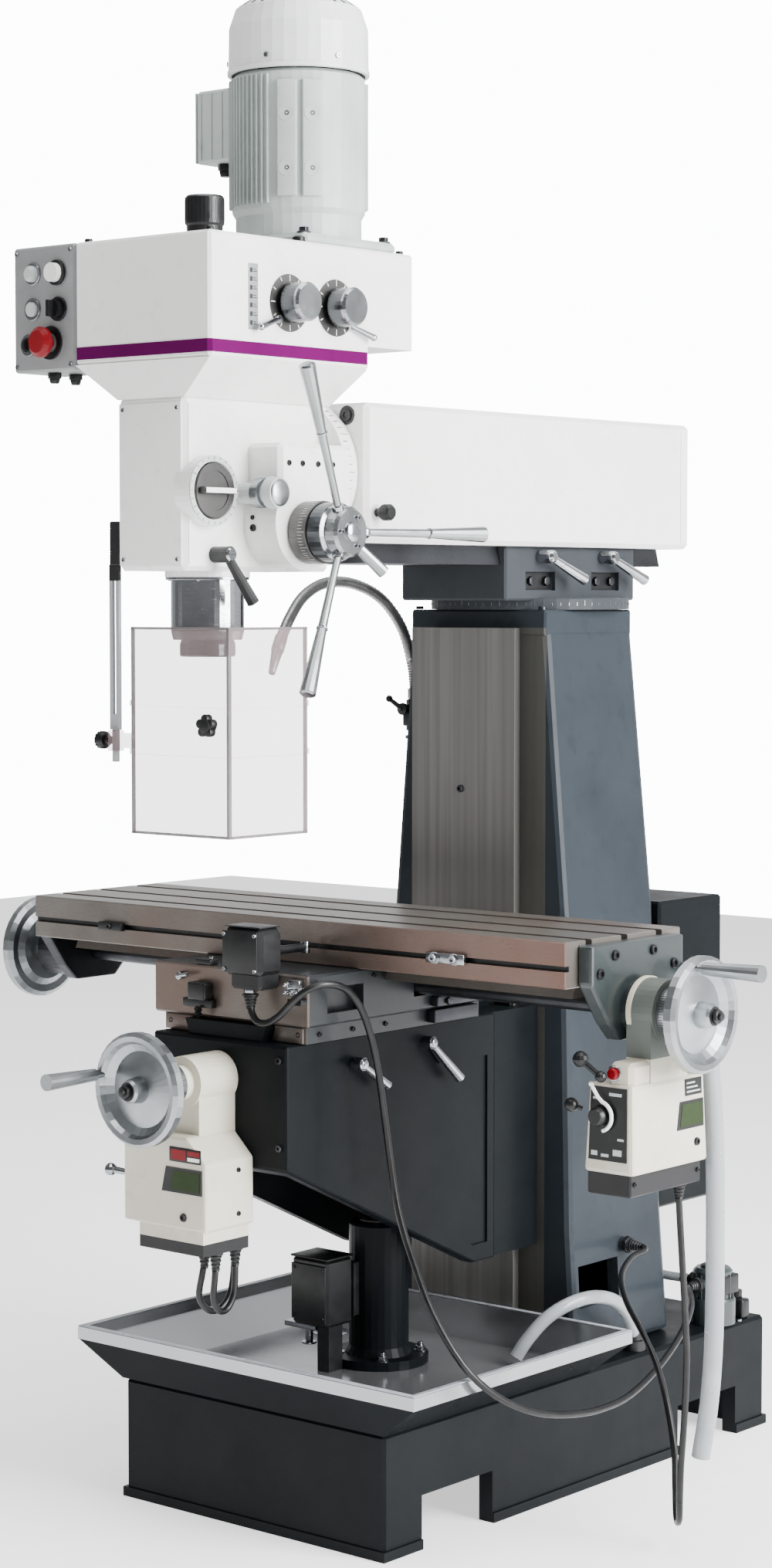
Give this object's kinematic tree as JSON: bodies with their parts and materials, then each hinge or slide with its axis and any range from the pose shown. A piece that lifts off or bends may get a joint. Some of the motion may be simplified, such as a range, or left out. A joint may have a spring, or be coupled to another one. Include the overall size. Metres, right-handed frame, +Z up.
{
  "type": "vertical milling machine",
  "caption": "Knee-type vertical milling machine: swivelling ram head with quill, sliding table with power feeds, saddle, knee, column and tray base.",
  "frame": {"origin": "centre of the base's footprint on the floor", "axes": "+Z up; +X to the operator's right, along the table; +Y from the operator back to the column"},
  "size_m": [1.378, 1.263, 2.134],
  "materials": {
    "slate_paint": "semi-gloss slate grey paint on cast iron",
    "white_paint": "semi-gloss white paint",
    "cream_paint": "semi-gloss cream paint",
    "green_grey_paint": "semi-gloss green-grey paint",
    "grey_paint": "satin mid grey paint",
    "motor_paint": "satin light grey-green paint",
    "ground_steel": "ground cast iron",
    "bright_steel": "bright steel",
    "dark_iron": "oiled dark iron",
    "cast_aluminium": "cast and polished aluminium",
    "black_plastic": "black plastic",
    "white_plastic": "white plastic",
    "red_plastic": "red plastic",
    "clear_plastic": "smoky clear plastic",
    "cable_rubber": "black cable sheath",
    "hose_plastic": "translucent hose"
  },
  "bodies": {
    "root": {"base": "slate_paint", "chip_tray": "slate_paint", "column": "slate_paint", "screw_pedestal": "slate_paint", "stop_box": "black_plastic", "coolant_pump": "green_grey_paint", "rear_cabinet": "slate_paint", "coolant_valve": "black_plastic", "coolant_gooseneck": "grey_paint", "supply_hose": "hose_plastic", "tray_hose": "hose_plastic", "feed_cable_loop": "cable_rubber"},
    "turret": {"turret_block": "slate_paint"},
    "clamp_front": {"clamp_lever_front": "bright_steel"},
    "clamp_rear": {"clamp_lever_rear": "bright_steel"},
    "ram": {"ram": "white_paint", "ram_dovetail": "dark_iron"},
    "head": {"head_housing": "white_paint", "control_panel": "grey_paint", "drawbar_cap": "black_plastic", "motor": "motor_paint", "motor_cowl": "motor_paint", "guard_post": "black_plastic"},
    "estop": {"estop_button": "red_plastic"},
    "start": {"start_button": "white_plastic"},
    "selector": {"selector_knob": "black_plastic"},
    "speed_a": {"speed_knob_a": "cast_aluminium"},
    "speed_b": {"speed_knob_b": "cast_aluminium"},
    "feed_dial": {"feed_dial": "dark_iron"},
    "depth_stop": {"depth_stop_knob": "bright_steel"},
    "feed_lever": {"feed_lever_hub": "bright_steel"},
    "quill_lock": {"quill_lock_lever": "black_plastic"},
    "fan": {"motor_fan": "black_plastic"},
    "quill": {"quill": "bright_steel"},
    "spindle": {"spindle": "bright_steel"},
    "guard": {"guard": "clear_plastic"},
    "knee": {"knee": "slate_paint", "elevating_screw": "bright_steel", "cross_feed_unit": "cream_paint", "feed_cord_a": "cable_rubber", "feed_cable_low": "cable_rubber", "switch_cable_long": "cable_rubber"},
    "knee_lock_front": {"knee_lock_front": "bright_steel"},
    "knee_lock_rear": {"knee_lock_rear": "bright_steel"},
    "cross_wheel": {"cross_handwheel": "cast_aluminium"},
    "cross_lever": {"cross_feed_lever": "bright_steel"},
    "saddle": {"saddle": "ground_steel", "limit_switch": "black_plastic", "switch_cable_short": "cable_rubber", "feed_cable_mid": "cable_rubber"},
    "table": {"table": "ground_steel", "table_leadscrew": "dark_iron", "end_bracket_left": "dark_iron", "end_bracket_right": "green_grey_paint", "table_feed_unit": "cream_paint", "drain_hose": "hose_plastic", "feed_cable_top": "cable_rubber"},
    "wheel_left": {"handwheel_left": "cast_aluminium"},
    "wheel_right": {"handwheel_right": "cast_aluminium"},
    "table_lever": {"table_feed_lever": "black_plastic"}
  },
  "joints": [
    {"name": "turret_swivel", "type": "hinge", "parent": "root", "child": "turret", "pos_m": [0, 0.174, 1.289], "axis": [0, 0, 1], "range_deg": [-90, 90]},
    {"name": "clamp_front_turn", "type": "hinge", "parent": "turret", "child": "clamp_front", "pos_m": [0.1, 0.0665, 1.368], "axis": [1, 0, 0], "range_deg": [-15, 25]},
    {"name": "clamp_rear_turn", "type": "hinge", "parent": "turret", "child": "clamp_rear", "pos_m": [0.1, 0.2227, 1.368], "axis": [1, 0, 0], "range_deg": [-15, 25]},
    {"name": "ram_slide", "type": "slide", "parent": "turret", "child": "ram", "axis": [0, 1, 0], "range_m": [-0.2, 0.25]},
    {"name": "head_tilt", "type": "hinge", "parent": "ram", "child": "head", "pos_m": [0, -0.355, 1.48], "axis": [0, 1, 0], "range_deg": [-45, 45]},
    {"name": "estop_press", "type": "slide", "parent": "head", "child": "estop", "axis": [0, 1, 0], "range_m": [0, 0.006], "stiffness_N_per_m": 900},
    {"name": "start_press", "type": "slide", "parent": "head", "child": "start", "axis": [0, 1, 0], "range_m": [0, 0.004], "stiffness_N_per_m": 700},
    {"name": "selector_turn", "type": "hinge", "parent": "head", "child": "selector", "pos_m": [-0.1565, -0.674, 1.698], "axis": [0, 1, 0], "range_deg": [-45, 45]},
    {"name": "speed_a_turn", "type": "hinge", "parent": "head", "child": "speed_a", "pos_m": [0.125, -0.52, 1.7], "axis": [1, 0, 0], "range_deg": [-60, 60]},
    {"name": "speed_b_turn", "type": "hinge", "parent": "head", "child": "speed_b", "pos_m": [0.125, -0.4255, 1.7], "axis": [1, 0, 0], "range_deg": [-60, 60]},
    {"name": "feed_dial_turn", "type": "hinge", "parent": "head", "child": "feed_dial", "pos_m": [0.062, -0.618, 1.449], "axis": [1, 0, 0], "range_deg": [-90, 90]},
    {"name": "depth_stop_turn", "type": "hinge", "parent": "head", "child": "depth_stop", "pos_m": [0.062, -0.55, 1.447], "axis": [1, 0, 0], "range_deg": [-170, 170]},
    {"name": "quill_lock_turn", "type": "hinge", "parent": "head", "child": "quill_lock", "pos_m": [0.062, -0.6, 1.3645], "axis": [1, 0, 0], "range_deg": [-30, 30]},
    {"name": "guard_swing", "type": "hinge", "parent": "head", "child": "guard", "pos_m": [-0.075, -0.65, 1.1], "axis": [0, 0, 1], "range_deg": [-110, 0]},
    {"name": "quill_slide", "type": "slide", "parent": "head", "child": "quill", "axis": [0, 0, 1], "range_m": [-0.12, 0]},
    {"name": "feed_lever_turn", "type": "hinge", "parent": "head", "child": "feed_lever", "pos_m": [0.12, -0.478, 1.395], "axis": [1, 0, 0], "range_deg": [0, 345]},
    {"name": "spindle_spin", "type": "hinge", "parent": "quill", "child": "spindle", "pos_m": [0, -0.548, 1.227], "axis": [0, 0, 1], "continuous": true},
    {"name": "motor_fan_spin", "type": "hinge", "parent": "head", "child": "fan", "pos_m": [0, -0.36, 2.031], "axis": [0, 0, 1], "continuous": true},
    {"name": "knee_slide", "type": "slide", "parent": "root", "child": "knee", "axis": [0, 0, 1], "range_m": [-0.085, 0.11], "deforming": ["feed_cable_low", "switch_cable_long", "feed_cable_mid", "switch_cable_short", "feed_cable_top", "drain_hose"]},
    {"name": "knee_lock_front_turn", "type": "hinge", "parent": "knee", "child": "knee_lock_front", "pos_m": [0.126, -0.387, 0.662], "axis": [1, 0, 0], "range_deg": [-30, 30]},
    {"name": "knee_lock_rear_turn", "type": "hinge", "parent": "knee", "child": "knee_lock_rear", "pos_m": [0.126, -0.235, 0.675], "axis": [1, 0, 0], "range_deg": [-30, 30]},
    {"name": "cross_wheel_spin", "type": "hinge", "parent": "knee", "child": "cross_wheel", "pos_m": [0, -0.681, 0.648], "axis": [0, 1, 0], "continuous": true},
    {"name": "cross_lever_turn", "type": "hinge", "parent": "knee", "child": "cross_lever", "pos_m": [-0.102, -0.58, 0.506], "axis": [0, 0, 1], "range_deg": [-20, 20]},
    {"name": "saddle_slide", "type": "slide", "parent": "knee", "child": "saddle", "axis": [0, 1, 0], "range_m": [-0.1, 0.1]},
    {"name": "table_slide", "type": "slide", "parent": "saddle", "child": "table", "axis": [1, 0, 0], "range_m": [-0.25, 0.25]},
    {"name": "wheel_left_spin", "type": "hinge", "parent": "table", "child": "wheel_left", "pos_m": [-0.62, -0.27, 0.761], "axis": [1, 0, 0], "continuous": true},
    {"name": "wheel_right_spin", "type": "hinge", "parent": "table", "child": "wheel_right", "pos_m": [0.62, -0.27, 0.761], "axis": [1, 0, 0], "continuous": true},
    {"name": "table_lever_turn", "type": "hinge", "parent": "table", "child": "table_lever", "pos_m": [0.535, -0.37, 0.682], "axis": [0, 1, 0], "range_deg": [-20, 20]}
  ],
  "couplings": [
    {"joint": "feed_lever_turn", "follows": "quill_slide", "rad_per_m": -50},
    {"joint": "motor_fan_spin", "follows": "spindle_spin", "ratio": 2}
  ]
}
